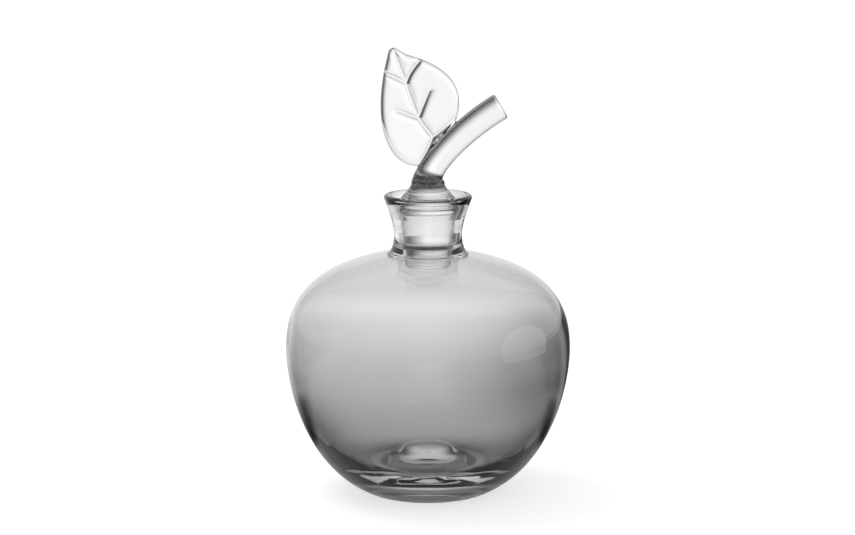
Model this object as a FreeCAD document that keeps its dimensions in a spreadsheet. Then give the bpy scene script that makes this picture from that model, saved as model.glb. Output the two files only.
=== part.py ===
import FreeCAD, Part
import math
import os
import Sketcher

# Liqueur decanter in the form of an apple: a blown glass bottle with a kicked-up
# base and a flared neck, and a solid glass stopper whose handle is the apple's stem
# with one leaf fused along it.  Millimetres, +Z up, origin on the centre of the foot.

V = FreeCAD.Vector
SMALL = 0.01
NEAR = 0.1

# ---------------------------------------------------------------- driving sizes
SIZES = [
    # Bottle, outside
    ("foot_radius", 27.3, "outer edge of the ring that the bottle stands on"),
    ("foot_rounding", 0.8, "ground edges of that ring"),
    ("heel_angle", 23.5, "rise of the heel from the table, degrees"),
    ("heel_fullness", 31.3, "how far the heel runs on in that direction"),
    ("belly_radius", 62.5, "widest radius"),
    ("belly_height", 63.3, "height of the widest place"),
    ("belly_fullness_below", 13.5, "how long the side stays upright below it"),
    ("belly_fullness_above", 17.7, "how long the side stays upright above it"),
    ("neck_root_height", 105.8, "where the shoulder meets the neck"),
    ("neck_root_step", 2.05, "neck there, beyond its narrowest place"),
    ("neck_root_rounding", 2.5, "fillet between shoulder and neck"),
    ("shoulder_angle", 10.2, "slope of the shoulder at the neck, degrees"),
    ("shoulder_fullness", 40.3, "how far the shoulder runs on in that direction"),
    ("neck_wall", 3.15, "glass round the bore at the neck's narrowest place"),
    ("neck_waist_rise", 7.7, "that place above the neck's root"),
    ("neck_length", 25.7, "lip above the neck's root"),
    ("rim_step", 4.95, "lip beyond the neck's narrowest place"),
    ("rim_flare", 21.0, "lean of the lip from upright, degrees"),
    ("rim_rounding", 1.3, "fire-polished edges of the lip"),
    # Bottle, inside
    ("side_wall", 2.2, "glass at the belly"),
    ("shoulder_wall", 3.2, "glass of the shoulder beside the neck"),
    ("base_thickness", 9.7, "glass under the lowest place inside"),
    ("floor_ring_radius", 24.0, "where the inside is lowest"),
    ("floor_fullness", 22.0, "how long the floor stays level outside that ring"),
    ("inner_fullness", 26.0, "how long the inner wall stays upright below the belly"),
    ("dome_height", 8.6, "rise of the floor in the middle"),
    ("punt_radius", 22.0, "hollow under the base, inside the foot ring"),
    ("punt_depth", 9.0, "height of that hollow"),
    ("bore_radius", 11.8, "straight bore of the neck"),
    ("bore_rounding", 2.2, "where the bore opens into the body"),
    ("seat_depth", 9.7, "lower edge of the conical seat, below the lip"),
    ("seat_angle", 22.5, "lean of the seat from upright, degrees"),
    ("seat_run", 6.9, "length of the seat along its slope"),
    ("rim_wall", 3.0, "glass at the lip"),
    ("mouth_flare", 50.0, "lean of the mouth's inside at the lip, degrees"),
    # Stopper, plug
    ("joint_gap", 0.25, "clearance between stopper and bottle"),
    ("plug_length", 22.8, "plug below the seat"),
    ("plug_taper", 1.65, "what the plug's radius loses down to its tip"),
    ("plug_rounding", 1.5, "lower edge of the plug"),
    ("collar_step", 1.1, "collar beyond the bore"),
    ("collar_height", 2.3, "collar from its lower to its upper face"),
    ("collar_rounding", 1.0, "round edges of the collar"),
    ("cone_step", 0.3, "foot of the cone beyond the bore"),
    ("cone_foot_rise", 7.7, "cone's foot above the seat"),
    ("cone_rounding", 1.0, "edge at the cone's foot"),
    ("cone_height", 8.1, "cone from its foot to where the stem begins"),
    # Stopper, stem
    ("stem_root_radius", 6.95, "stem where it leaves the cone"),
    ("stem_waist_radius", 5.2, "thinnest place of the stem"),
    ("stem_end_radius", 5.95, "stem at its cut end"),
    ("stem_upright", 5.6, "how long the stem stays upright above the cone"),
    ("stem_reach", 31.8, "middle of the cut end, from the axis"),
    ("stem_rise", 32.5, "middle of the cut end, above the cone"),
    ("stem_end_angle", 30.5, "rise of the stem at its end, degrees"),
    ("stem_end_run", 20.5, "how long it keeps that direction"),
    ("stem_end_rounding", 0.9, "edge of the cut end"),
    # Stopper, leaf
    ("leaf_thickness", 5.2, "thickness of the leaf"),
    ("leaf_rounding", 1.9, "round margin, front and back"),
    ("leaf_height", 58.8, "point of the leaf, before rounding, above the cone"),
    ("leaf_tip_lean", 16.4, "point of the leaf to the left of the axis"),
    ("leaf_tip_rounding", 2.4, "rounding of the point"),
    ("leaf_notch_drop", 4.0, "notch beside the point, below it"),
    ("leaf_notch_step", 7.1, "notch beside the point, to the right of it"),
    ("leaf_right_width", 13.5, "widest place on the stem side, from the axis"),
    ("leaf_left_width", 20.9, "widest place on the free side, from the axis"),
    ("vein_width", 1.9, "radius of the tool that presses the veins"),
    ("vein_depth", 0.75, "depth of the veins"),
]


class Size:
    """A length or angle that knows its value and its spreadsheet expression."""

    def __init__(self, text, value):
        self.text = text
        self.value = value

    @staticmethod
    def of(other):
        return other if isinstance(other, Size) else Size(repr(float(other)), float(other))

    def join(self, sign, other, value):
        return Size("(%s %s %s)" % (self.text, sign, other.text), value)

    def __add__(self, other):
        other = Size.of(other)
        return self.join("+", other, self.value + other.value)

    def __sub__(self, other):
        other = Size.of(other)
        return self.join("-", other, self.value - other.value)

    def __mul__(self, other):
        other = Size.of(other)
        return self.join("*", other, self.value * other.value)

    def __truediv__(self, other):
        other = Size.of(other)
        return self.join("/", other, self.value / other.value)

    def __neg__(self):
        return Size("(0 - %s)" % self.text, -self.value)


def cosine(angle):
    return Size("cos(%s)" % angle.text, math.cos(math.radians(angle.value)))


def sine(angle):
    return Size("sin(%s)" % angle.text, math.sin(math.radians(angle.value)))


document = FreeCAD.newDocument("LiqueurDecanter")
sheet = document.addObject("Spreadsheet::Sheet", "Sizes")
size = {}
for row, (alias, value, meaning) in enumerate(SIZES, start=1):
    sheet.set("A%d" % row, alias)
    sheet.set("B%d" % row, str(value))
    sheet.setAlias("B%d" % row, alias)
    sheet.set("C%d" % row, meaning)
    size[alias] = Size("Sizes." + alias, value)
document.recompute()


# ---------------------------------------------------------------- drawing helpers
def origin_feature(body, role):
    return [item for item in body.Origin.OriginFeatures if item.Role == role][0]


def new_sketch(body, name, role="XZ_Plane"):
    """A sketch on one of the body's own origin planes."""
    sketch = body.newObject("Sketcher::SketchObject", name)
    sketch.AttachmentSupport = [(origin_feature(body, role), "")]
    sketch.MapMode = "FlatFace"
    return sketch


def pin(sketch, geometry, point, place):
    """Fixes a point of the sketch at a place given by two sizes."""
    for axis, number, own_axis in (("X", place[0], -2), ("Y", place[1], -1)):
        if not isinstance(number, Size):
            sketch.addConstraint(Sketcher.Constraint("PointOnObject", geometry, point, own_axis))
            continue
        start = Sketcher.Constraint("Distance" + axis, -1, 1, geometry, point, number.value)
        index = sketch.addConstraint(start)
        sketch.setExpression("Constraints[%d]" % index, number.text)


def vector(place):
    return V(Size.of(place[0]).value, Size.of(place[1]).value, 0)


def add_spline(sketch, poles):
    """A Bezier curve; all its poles but the last are fixed in place."""
    points = [vector(pole) for pole in poles]
    degree = len(points) - 1
    curve = Part.BSplineCurve()
    curve.buildFromPolesMultsKnots(points, [degree + 1] * 2, [0, 1], False, degree)
    spline = sketch.addGeometry(curve, False)
    for index, point in enumerate(points):
        circle = sketch.addGeometry(Part.Circle(point, V(0, 0, 1), 1), True)
        align = "InternalAlignment:Sketcher::BSplineControlPoint"
        sketch.addConstraint(Sketcher.Constraint(align, circle, 3, spline, index))
        sketch.addConstraint(Sketcher.Constraint("Weight", circle, 1.0))
        if index < degree:
            pin(sketch, circle, 3, poles[index])
    return spline


def closed_outline(sketch, runs):
    """Runs follow each other round the outline.  Each is a list that starts with its
    first point; the points after that are the inner poles of a curve, and a run of one
    point is a straight line.  Every run ends where the next one starts."""
    added = []
    for run, following in zip(runs, runs[1:] + runs[:1]):
        if len(run) == 1:
            line = Part.LineSegment(vector(run[0]), vector(following[0]))
            added.append(sketch.addGeometry(line, False))
            pin(sketch, added[-1], 1, run[0])
        else:
            added.append(add_spline(sketch, run + following[:1]))
    for this, following in zip(added, added[1:] + added[:1]):
        sketch.addConstraint(Sketcher.Constraint("Coincident", this, 2, following, 1))
    document.recompute()


def turned(body, kind, name, runs):
    """A revolved feature, Revolution or Groove, from a half outline round the Z axis."""
    sketch = new_sketch(body, name + "_outline")
    closed_outline(sketch, runs)
    feature = body.newObject("PartDesign::" + kind, name)
    feature.Profile = sketch
    feature.ReferenceAxis = (origin_feature(body, "Z_Axis"), [""])
    feature.Angle = 360
    document.recompute()
    return feature


def rings(feature, places):
    """Names of the circular edges round the Z axis at the given (radius, height)."""
    found = []
    for number, edge in enumerate(feature.Shape.Edges, start=1):
        if edge.Degenerated or not isinstance(edge.Curve, Part.Circle):
            continue
        for radius, height in places:
            same_radius = abs(edge.Curve.Radius - Size.of(radius).value) < SMALL
            same_height = abs(edge.Curve.Center.z - Size.of(height).value) < SMALL
            if same_radius and same_height:
                found.append("Edge%d" % number)
    return found


def named_at(feature, kind, place):
    """Names of the edges or faces whose middle lies at the given point."""
    shapes = feature.Shape.Edges if kind == "Edge" else feature.Shape.Faces
    found = []
    for number, shape in enumerate(shapes, start=1):
        if shape.Length > 0 and shape.CenterOfMass.distanceToPoint(place) < NEAR:
            found.append("%s%d" % (kind, number))
    return found


def rounded(body, name, edges, radius):
    """Fillet on edges of the body's last feature."""
    if not edges:
        raise RuntimeError("no edges for " + name)
    base = body.Tip
    feature = body.newObject("PartDesign::Fillet", name)
    feature.Base = (base, edges)
    feature.setExpression("Radius", radius.text)
    document.recompute()
    return feature


# ---------------------------------------------------------------- bottle
# Shares of a curve's own height or width at which its inner poles stand.
NECK_PULL_IN = 0.3
NECK_RISE_LOW = 0.33
NECK_RISE_HIGH = 0.4
WAIST_LENGTH = 0.28
LIP_RUN = 0.4
MOUTH_RUN = 0.35
DOME_TOP = (0.45, 0.68)
DOME_FOOT = (0.52, 0.68)


def rim_height(s):
    return s["neck_root_height"] + s["neck_length"]


def make_decanter(s):
    body = document.addObject("PartDesign::Body", "decanter")
    body.Label = "decanter"
    belly = (s["belly_radius"], s["belly_height"])
    bore = s["bore_radius"]
    waist = (bore + s["neck_wall"], s["neck_root_height"] + s["neck_waist_rise"])
    neck_root = (waist[0] + s["neck_root_step"], s["neck_root_height"])
    rim = (waist[0] + s["rim_step"], s["neck_root_height"] + s["neck_length"])
    heel = (s["foot_radius"] + s["heel_fullness"] * cosine(s["heel_angle"]),
            s["heel_fullness"] * sine(s["heel_angle"]))
    slope_x = cosine(s["shoulder_angle"])
    slope_y = sine(s["shoulder_angle"])
    shoulder_pole = (neck_root[0] + s["shoulder_fullness"] * slope_x,
                     neck_root[1] - s["shoulder_fullness"] * slope_y)
    lip_rise = s["neck_length"] - s["neck_waist_rise"]
    lip_run = lip_rise * LIP_RUN

    # Blown form: heel, belly, shoulder, and the neck's waist and lip.
    blown = turned(body, "Revolution", "blown_form", [
        [(0, 0)],
        [(s["foot_radius"], 0), heel,
         (s["belly_radius"], s["belly_height"] - s["belly_fullness_below"])],
        [belly, (s["belly_radius"], s["belly_height"] + s["belly_fullness_above"]),
         shoulder_pole],
        [neck_root,
         (waist[0] + s["neck_root_step"] * NECK_PULL_IN,
          neck_root[1] + s["neck_waist_rise"] * NECK_RISE_LOW),
         (waist[0], waist[1] - s["neck_waist_rise"] * NECK_RISE_HIGH)],
        [waist, (waist[0], waist[1] + lip_rise * WAIST_LENGTH),
         (rim[0] - lip_run * sine(s["rim_flare"]), rim[1] - lip_run * cosine(s["rim_flare"]))],
        [rim],
        [(0, rim[1])],
    ])
    rounded(body, "neck_root_fillet", rings(blown, [neck_root]), s["neck_root_rounding"])

    # Inside: floor with its dome, inner wall, inner shoulder, bore, seat and mouth.
    floor = s["base_thickness"]
    dome_top = floor + s["dome_height"]
    ring = s["floor_ring_radius"]
    inner = s["belly_radius"] - s["side_wall"]
    bore_foot = (neck_root[1] - s["shoulder_wall"] / slope_x
                 + (neck_root[0] - bore) * (slope_y / slope_x))
    seat = rim[1] - s["seat_depth"]
    seat_end = (bore + s["seat_run"] * sine(s["seat_angle"]),
                seat + s["seat_run"] * cosine(s["seat_angle"]))
    mouth = (rim[0] - s["rim_wall"], rim[1])
    mouth_rise = mouth[1] - seat_end[1]
    mouth_run = mouth_rise * MOUTH_RUN
    turned(body, "Groove", "hollow", [
        [(0, dome_top)] + [(ring * part, dome_top) for part in DOME_TOP]
        + [(ring * part, floor) for part in DOME_FOOT],
        [(ring, floor), (ring + s["floor_fullness"], floor),
         (inner, s["belly_height"] - s["inner_fullness"])],
        [(inner, s["belly_height"]), (inner, s["belly_height"] + s["belly_fullness_above"]),
         (shoulder_pole[0], shoulder_pole[1] - s["side_wall"] / slope_x)],
        [(bore, bore_foot)],
        [(bore, seat)],
        [seat_end,
         (seat_end[0] + mouth_run * sine(s["seat_angle"]),
          seat_end[1] + mouth_run * cosine(s["seat_angle"])),
         (mouth[0] - mouth_run * sine(s["mouth_flare"]),
          mouth[1] - mouth_run * cosine(s["mouth_flare"]))],
        [mouth],
        [(0, mouth[1])],
    ])
    rounded(body, "bore_fillet", rings(body.Tip, [(bore, bore_foot)]), s["bore_rounding"])
    rounded(body, "fire_polished_lip", rings(body.Tip, [rim, mouth]), s["rim_rounding"])

    # Punt: the hollow that the pontil leaves under the base, a spherical cap.
    half_width = s["punt_radius"]
    depth = s["punt_depth"]
    ball_radius = (half_width * half_width + depth * depth) / (depth * 2)
    punt = body.newObject("PartDesign::SubtractiveSphere", "punt")
    punt.AttachmentSupport = [(origin_feature(body, "XY_Plane"), "")]
    punt.MapMode = "FlatFace"
    punt.setExpression("Radius", ball_radius.text)
    punt.setExpression("AttachmentOffset.Base.z", (depth - ball_radius).text)
    document.recompute()
    foot_edges = rings(punt, [(s["foot_radius"], 0), (half_width, 0)])
    rounded(body, "foot_fillets", foot_edges, s["foot_rounding"])
    return body


# ---------------------------------------------------------------- stopper
STEM_STATIONS = (0.0, 0.15, 0.4, 0.7, 1.0)
CONE_PULL_IN = ((0.62, 0.34), (0.05, 0.6))

# Places on the leaf.  The first number is a share of the leaf's width on that side of
# the axis, the second a share of its height above the cone.
LEAF_RIGHT_POLES = ((0.81, 0.841), (1.31, 0.66))
LEAF_STEM_SIDE = ((0.815, 0.39), (0.555, 0.24))
LEAF_FOOT = (0.0, 0.117)
LEAF_LEFT_POLES = ((-0.826, 0.034), (-1.267, 0.421))
MIDRIB = ((-0.708, 0.956), (-0.536, 0.826), (-0.45, 0.718), (-0.34, 0.59),
          (-0.196, 0.464), (0.163, 0.32))
SIDE_VEINS = (
    ((-0.45, 0.718), (-0.90, 0.79)),
    ((-0.45, 0.718), (-0.13, 0.893)),
    ((-0.196, 0.464), (-0.64, 0.52)),
    ((-0.196, 0.464), (0.03, 0.657)),
    ((0.163, 0.32), (-0.16, 0.12)),
)
VEIN_FADE = 0.9


def stem_root(s):
    """Height at which the cone ends and the stem and leaf begin."""
    return rim_height(s) - s["seat_depth"] + s["cone_foot_rise"] + s["cone_height"]


def on_leaf(s, place):
    """X and Z of a place given as shares of the leaf's width and height."""
    width = s["leaf_left_width"] if place[0] < 0 else s["leaf_right_width"]
    return width * place[0], stem_root(s) + s["leaf_height"] * place[1]


def leaf_point(s):
    return -s["leaf_tip_lean"], stem_root(s) + s["leaf_height"]


def add_leaf(body, s):
    """Flat pressed leaf with a round margin; its stem side ends inside the stem."""
    tip = leaf_point(s)
    notch = (tip[0] + s["leaf_notch_step"], tip[1] - s["leaf_notch_drop"])
    outline = new_sketch(body, "leaf_outline")
    closed_outline(outline, [
        [tip],
        [notch] + [on_leaf(s, place) for place in LEAF_RIGHT_POLES],
        [on_leaf(s, LEAF_STEM_SIDE[0])],
        [on_leaf(s, LEAF_STEM_SIDE[1])],
        [on_leaf(s, LEAF_FOOT)] + [on_leaf(s, place) for place in LEAF_LEFT_POLES],
    ])
    pad = body.newObject("PartDesign::Pad", "leaf")
    pad.Profile = outline
    pad.SideType = "Symmetric"
    pad.setExpression("Length", s["leaf_thickness"].text)
    document.recompute()

    point = named_at(pad, "Edge", V(tip[0].value, 0, tip[1].value))
    rounded(body, "leaf_tip_fillet", point, s["leaf_tip_rounding"])
    half = s["leaf_thickness"].value / 2
    margins = ["Edge%d" % number for number, edge in enumerate(body.Tip.Shape.Edges, start=1)
               if abs(abs(edge.CenterOfMass.y) - half) < SMALL]
    rounded(body, "leaf_margin", margins, s["leaf_rounding"])


def press_veins(body, s):
    """Midrib as a bent groove, side veins as tapered grooves that run out to nothing."""
    front = s["leaf_thickness"] / 2
    tool = s["vein_width"]
    lift = tool - s["vein_depth"]
    path = body.newObject("Sketcher::SketchObject", "midrib_path")
    path.AttachmentSupport = [(origin_feature(body, "XZ_Plane"), "")]
    path.MapMode = "FlatFace"
    path.setExpression("AttachmentOffset.Base.z", (front + lift).text)
    points = [vector(on_leaf(s, place)) for place in MIDRIB]
    curve = Part.BSplineCurve()
    curve.interpolate(points)
    path.addGeometry(curve, False)
    document.recompute()
    profile = body.newObject("Sketcher::SketchObject", "midrib_tool")
    profile.AttachmentSupport = [(path, "Edge1")]
    profile.MapMode = "NormalToEdge"
    profile.addGeometry(Part.Circle(V(0, 0, 0), V(0, 0, 1), tool.value), False)
    profile.addConstraint(Sketcher.Constraint("Coincident", 0, 3, -1, 1))
    profile.addConstraint(Sketcher.Constraint("Radius", 0, tool.value))
    profile.setExpression("Constraints[1]", tool.text)
    document.recompute()
    midrib = body.newObject("PartDesign::SubtractivePipe", "midrib")
    midrib.Profile = profile
    midrib.Spine = (path, ["Edge1"])
    document.recompute()

    for number, ends in enumerate(SIDE_VEINS, start=1):
        start, end = [on_leaf(s, place) for place in ends]
        run = V(end[0].value - start[0].value, 0, end[1].value - start[1].value)
        turn = FreeCAD.Rotation(V(0, 0, 1), run)
        vein = body.newObject("PartDesign::SubtractiveCone", "side_vein_%d" % number)
        vein.Placement = FreeCAD.Placement(V(0, 0, 0), turn)
        vein.Height = run.Length
        vein.setExpression("Radius1", tool.text)
        vein.setExpression("Radius2", (lift * VEIN_FADE).text)
        vein.setExpression("Placement.Base.x", start[0].text)
        vein.setExpression("Placement.Base.y", (-(front + lift)).text)
        vein.setExpression("Placement.Base.z", start[1].text)
        document.recompute()


def add_stem(body, s):
    """Sweep through circles that stand square to a curved centre line."""
    centre = new_sketch(body, "stem_centre_line")
    angle = s["stem_end_angle"]
    root = stem_root(s)
    end = (s["stem_reach"], root + s["stem_rise"])
    poles = [
        (0, root),
        (0, root + s["stem_upright"]),
        (end[0] - s["stem_end_run"] * cosine(angle), end[1] - s["stem_end_run"] * sine(angle)),
        end,
    ]
    spline = add_spline(centre, poles)
    pin(centre, spline, 2, end)
    document.recompute()
    waist = s["stem_waist_radius"]
    sections = []
    for number, place in enumerate(STEM_STATIONS):
        section = body.newObject("Sketcher::SketchObject", "stem_section_%d" % number)
        section.AttachmentSupport = [(centre, "Edge1")]
        section.MapMode = "NormalToEdge"
        section.MapPathParameter = place
        narrowing = (1 - place) ** 5
        swelling = place ** 2 * (3 - 2 * place)
        radius = (waist + (s["stem_root_radius"] - waist) * narrowing
                  + (s["stem_end_radius"] - waist) * swelling)
        section.addGeometry(Part.Circle(V(0, 0, 0), V(0, 0, 1), radius.value), False)
        section.addConstraint(Sketcher.Constraint("Coincident", 0, 3, -1, 1))
        section.addConstraint(Sketcher.Constraint("Radius", 0, radius.value))
        section.setExpression("Constraints[1]", radius.text)
        sections.append(section)
    document.recompute()
    stem = body.newObject("PartDesign::AdditivePipe", "stem")
    stem.Profile = sections[0]
    stem.Spine = (centre, ["Edge1"])
    stem.Transformation = "Multisection"
    stem.Sections = sections[1:]
    document.recompute()
    middle = V(end[0].value, 0, end[1].value)
    rounded(body, "stem_end_fillet", named_at(stem, "Face", middle), s["stem_end_rounding"])


def add_plug(body, s):
    """Tapered plug, collar and the hollow-sided cone that carries the stem."""
    seat = rim_height(s) - s["seat_depth"]
    top = (s["bore_radius"] - s["joint_gap"], seat)
    tip = (top[0] - s["plug_taper"], seat - s["plug_length"])
    cone_foot = (s["bore_radius"] + s["cone_step"], seat + s["cone_foot_rise"])
    cone_top = (s["stem_root_radius"], stem_root(s))
    cone_in = cone_foot[0] - cone_top[0]
    pull = [(cone_top[0] + cone_in * wide, cone_foot[1] + s["cone_height"] * high)
            for wide, high in CONE_PULL_IN]

    # The collar's round lower edge rests on the conical seat, less the joint's gap.
    collar = s["bore_radius"] + s["collar_step"]
    edge = s["collar_rounding"]
    inward = (s["collar_step"] - edge) * cosine(s["seat_angle"])
    middle = seat + (inward + edge + s["joint_gap"]) / sine(s["seat_angle"])
    collar_low = (collar, middle - edge)
    collar_high = (collar, collar_low[1] + s["collar_height"])
    turned(body, "Revolution", "plug", [
        [(0, tip[1])],
        [tip],
        [top],
        [(s["bore_radius"], collar_low[1])],
        [collar_low],
        [collar_high],
        [(s["bore_radius"], collar_high[1])],
        [cone_foot] + pull,
        [cone_top],
        [(0, cone_top[1])],
    ])
    rounded(body, "plug_tip_fillet", rings(body.Tip, [tip]), s["plug_rounding"])
    rounded(body, "cone_foot_fillet", rings(body.Tip, [cone_foot]), s["cone_rounding"])
    rounded(body, "collar_fillet", rings(body.Tip, [collar_low, collar_high]), edge)


def make_stopper(s):
    """Plug and stem are one body, the leaf another; the stopper is both fused."""
    core = document.addObject("PartDesign::Body", "plug_and_stem")
    add_plug(core, s)
    add_stem(core, s)
    blade = document.addObject("PartDesign::Body", "leaf_blade")
    add_leaf(blade, s)
    press_veins(blade, s)
    stopper = document.addObject("Part::Fuse", "stopper")
    stopper.Base = core
    stopper.Tool = blade
    stopper.Label = "stopper"
    document.recompute()
    return stopper


# ---------------------------------------------------------------- build and write
pieces = [make_decanter(size), make_stopper(size)]
document.recompute()

for item in document.Objects:
    if "Invalid" in item.State or "Error" in item.State:
        raise RuntimeError("%s failed: %s" % (item.Label, item.State))
for piece in pieces:
    if piece.Shape.isNull() or not piece.Shape.isValid():
        raise RuntimeError(piece.Label + " has no valid shape")

os.makedirs("parts", exist_ok=True)
for piece in pieces:
    piece.Shape.exportStep("parts/%s.step" % piece.Label)
    print(piece.Label, "solids", len(piece.Shape.Solids), "ml", round(piece.Shape.Volume / 1000, 2))
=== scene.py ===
import math

import bpy
import numpy as np
from bpy.props import FloatProperty, FloatVectorProperty, IntProperty, PointerProperty
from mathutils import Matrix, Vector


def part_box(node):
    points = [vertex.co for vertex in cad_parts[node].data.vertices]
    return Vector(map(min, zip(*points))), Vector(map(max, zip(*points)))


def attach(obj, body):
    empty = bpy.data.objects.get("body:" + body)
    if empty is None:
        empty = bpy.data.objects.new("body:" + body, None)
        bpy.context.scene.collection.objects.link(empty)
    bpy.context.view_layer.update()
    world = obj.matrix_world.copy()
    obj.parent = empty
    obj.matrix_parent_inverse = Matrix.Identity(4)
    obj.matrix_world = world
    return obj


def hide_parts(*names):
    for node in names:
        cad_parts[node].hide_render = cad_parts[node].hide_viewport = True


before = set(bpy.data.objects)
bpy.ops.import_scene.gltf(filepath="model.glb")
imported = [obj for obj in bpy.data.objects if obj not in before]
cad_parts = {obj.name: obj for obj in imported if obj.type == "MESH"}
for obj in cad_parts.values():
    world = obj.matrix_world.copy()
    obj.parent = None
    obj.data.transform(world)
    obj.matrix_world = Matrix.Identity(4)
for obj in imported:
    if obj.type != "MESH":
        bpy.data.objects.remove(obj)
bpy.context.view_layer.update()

bl_info = {
    "name": "Liqueur Decanter",
    "version": (1, 0, 0),
    "blender": (4, 5, 0),
    "location": "View3D > Sidebar > Decanter",
    "description": "Blown glass decanter with a stem and leaf stopper in a soft studio",
    "category": "Add Mesh",
}

MM = 0.001
BLACK = (0.0, 0.0, 0.0, 1.0)
WHITE = (1.0, 1.0, 1.0, 1.0)

# Heights of the bottle and distances from its axis between which its glass changes: the grey tint
# deepens low down and clears at the neck, painted shade darkens the heel's edge, the steep side of
# the kicked-up base and the stopper's cone, a painted highlight lightens the crests of that base,
# and the thick heel grows uneven.
TINT_DEEPENS = (100 * MM, 4 * MM)
NECK_CLEARS = (98 * MM, 110 * MM)
DOME_EDGE = (31 * MM, 24 * MM)
DOME_TOP = (22 * MM, 16 * MM)
DOME_CREST = (12 * MM, 15 * MM)
PUNT_CREST = (9.5 * MM, 8.8 * MM)
HEEL_DARKENS = (55 * MM, 25 * MM)
HEEL_THICKENS = (40 * MM, 15 * MM)
HEEL_REACH = (26 * MM, 42 * MM)
CONE_BELOW = (132.5 * MM, 135 * MM)
CONE_ABOVE = (141.5 * MM, 139.5 * MM)

# How far the glass is turned away, from 0 seen straight on to 1 seen edge on, where its bands of
# painted shade begin and are full.
HEEL_TURN = (0.25, 0.75)
RIM_TURN = (0.64, 0.76)
EDGE_TURN = (0.86, 1.0)
STOPPER_TURN = (0.18, 0.80)

# Where the handles of the bottle's curves lie, as shares of the size beside them.
DOME_HANDLES = (0.45, 0.68, 0.52, 0.68)
MOUTH_HANDLE = 0.35
LIP_HANDLES = (0.40, 0.28)
WAIST_HANDLES = (0.40, 0.30, 0.33)
CONE_HANDLES = ((0.62, 0.34), (0.05, 0.60))


# ---------------------------------------------------------------- sizes and finishes
def length(name, description, millimetres):
    return FloatProperty(name=name, description=description, default=millimetres * MM,
                         unit="LENGTH", subtype="DISTANCE", precision=5)


def angle(name, description, degrees):
    return FloatProperty(name=name, description=description, default=math.radians(degrees),
                         unit="ROTATION", subtype="ANGLE")


def colour(name, description, rgb):
    return FloatVectorProperty(name=name, description=description, default=rgb,
                               subtype="COLOR", size=3, min=0, max=1)


def factor(name, description, value, top=1.0):
    return FloatProperty(name=name, description=description, default=value, min=0, max=top,
                         subtype="FACTOR")


class BottleSizes(bpy.types.PropertyGroup):
    foot_radius: length("Foot Radius", "Outer edge of the ring it stands on", 27.3)
    foot_rounding: length("Foot Rounding", "Ground edges of the foot", 0.8)
    heel_angle: angle("Heel Angle", "Rise of the heel from the table", 23.5)
    heel_fullness: length("Heel Fullness", "How far the heel runs on straight", 31.3)
    belly_radius: length("Belly Radius", "Widest radius", 62.5)
    belly_height: length("Belly Height", "Height of the widest place", 63.3)
    fullness_below: length("Fullness Below", "How long the side stays upright below it", 13.5)
    fullness_above: length("Fullness Above", "How long the side stays upright above it", 17.7)
    neck_root_height: length("Neck Root Height", "Where shoulder and neck meet", 105.8)
    neck_root_step: length("Neck Root Step", "Neck there beyond its waist", 2.05)
    neck_root_rounding: length("Neck Root Rounding", "Soft corner at the neck root", 2.5)
    shoulder_angle: angle("Shoulder Angle", "Slope of the shoulder at the neck", 10.2)
    shoulder_fullness: length("Shoulder Fullness", "How far the shoulder runs on", 40.3)
    neck_wall: length("Neck Wall", "Glass round the bore at the neck's waist", 3.15)
    waist_rise: length("Waist Rise", "Narrowest place above the neck's root", 7.7)
    neck_length: length("Neck Length", "Lip above the neck's root", 25.7)
    rim_step: length("Rim Step", "Lip beyond the neck's waist", 4.95)
    rim_flare: angle("Rim Flare", "Lean of the lip from upright", 21.0)
    rim_rounding: length("Rim Rounding", "Fire-polished edges of the lip", 1.3)
    rim_wall: length("Rim Wall", "Glass at the lip", 3.0)
    mouth_flare: angle("Mouth Flare", "Lean of the mouth's inside at the lip", 50.0)
    side_wall: length("Side Wall", "Glass at the belly", 2.2)
    shoulder_wall: length("Shoulder Wall", "Glass of the shoulder beside the neck", 3.2)
    floor_height: length("Floor Height", "Glass under the lowest place inside", 9.7)
    floor_ring: length("Floor Ring", "Radius where the inside is lowest", 24.0)
    floor_fullness: length("Floor Fullness", "How long the floor stays level", 22.0)
    inner_fullness: length("Inner Fullness", "How long the inner wall stays upright", 26.0)
    dome_height: length("Dome Height", "Rise of the floor in the middle", 8.6)
    punt_radius: length("Punt Radius", "Hollow under the base", 22.0)
    punt_depth: length("Punt Depth", "Height of that hollow", 9.0)
    bore_radius: length("Bore Radius", "Straight bore of the neck", 11.8)
    bore_rounding: length("Bore Rounding", "Where the bore opens into the body", 2.2)
    seat_depth: length("Seat Depth", "Lower edge of the conical seat below the lip", 9.7)
    seat_angle: angle("Seat Angle", "Lean of the seat from upright", 22.5)
    seat_run: length("Seat Run", "Length of the seat along its slope", 6.9)
    seat_rounding: length("Seat Rounding", "Lower edge of the ground seat", 0.4)
    turns: IntProperty(name="Turns", description="Facets round the axis", default=256, min=24)


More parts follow.
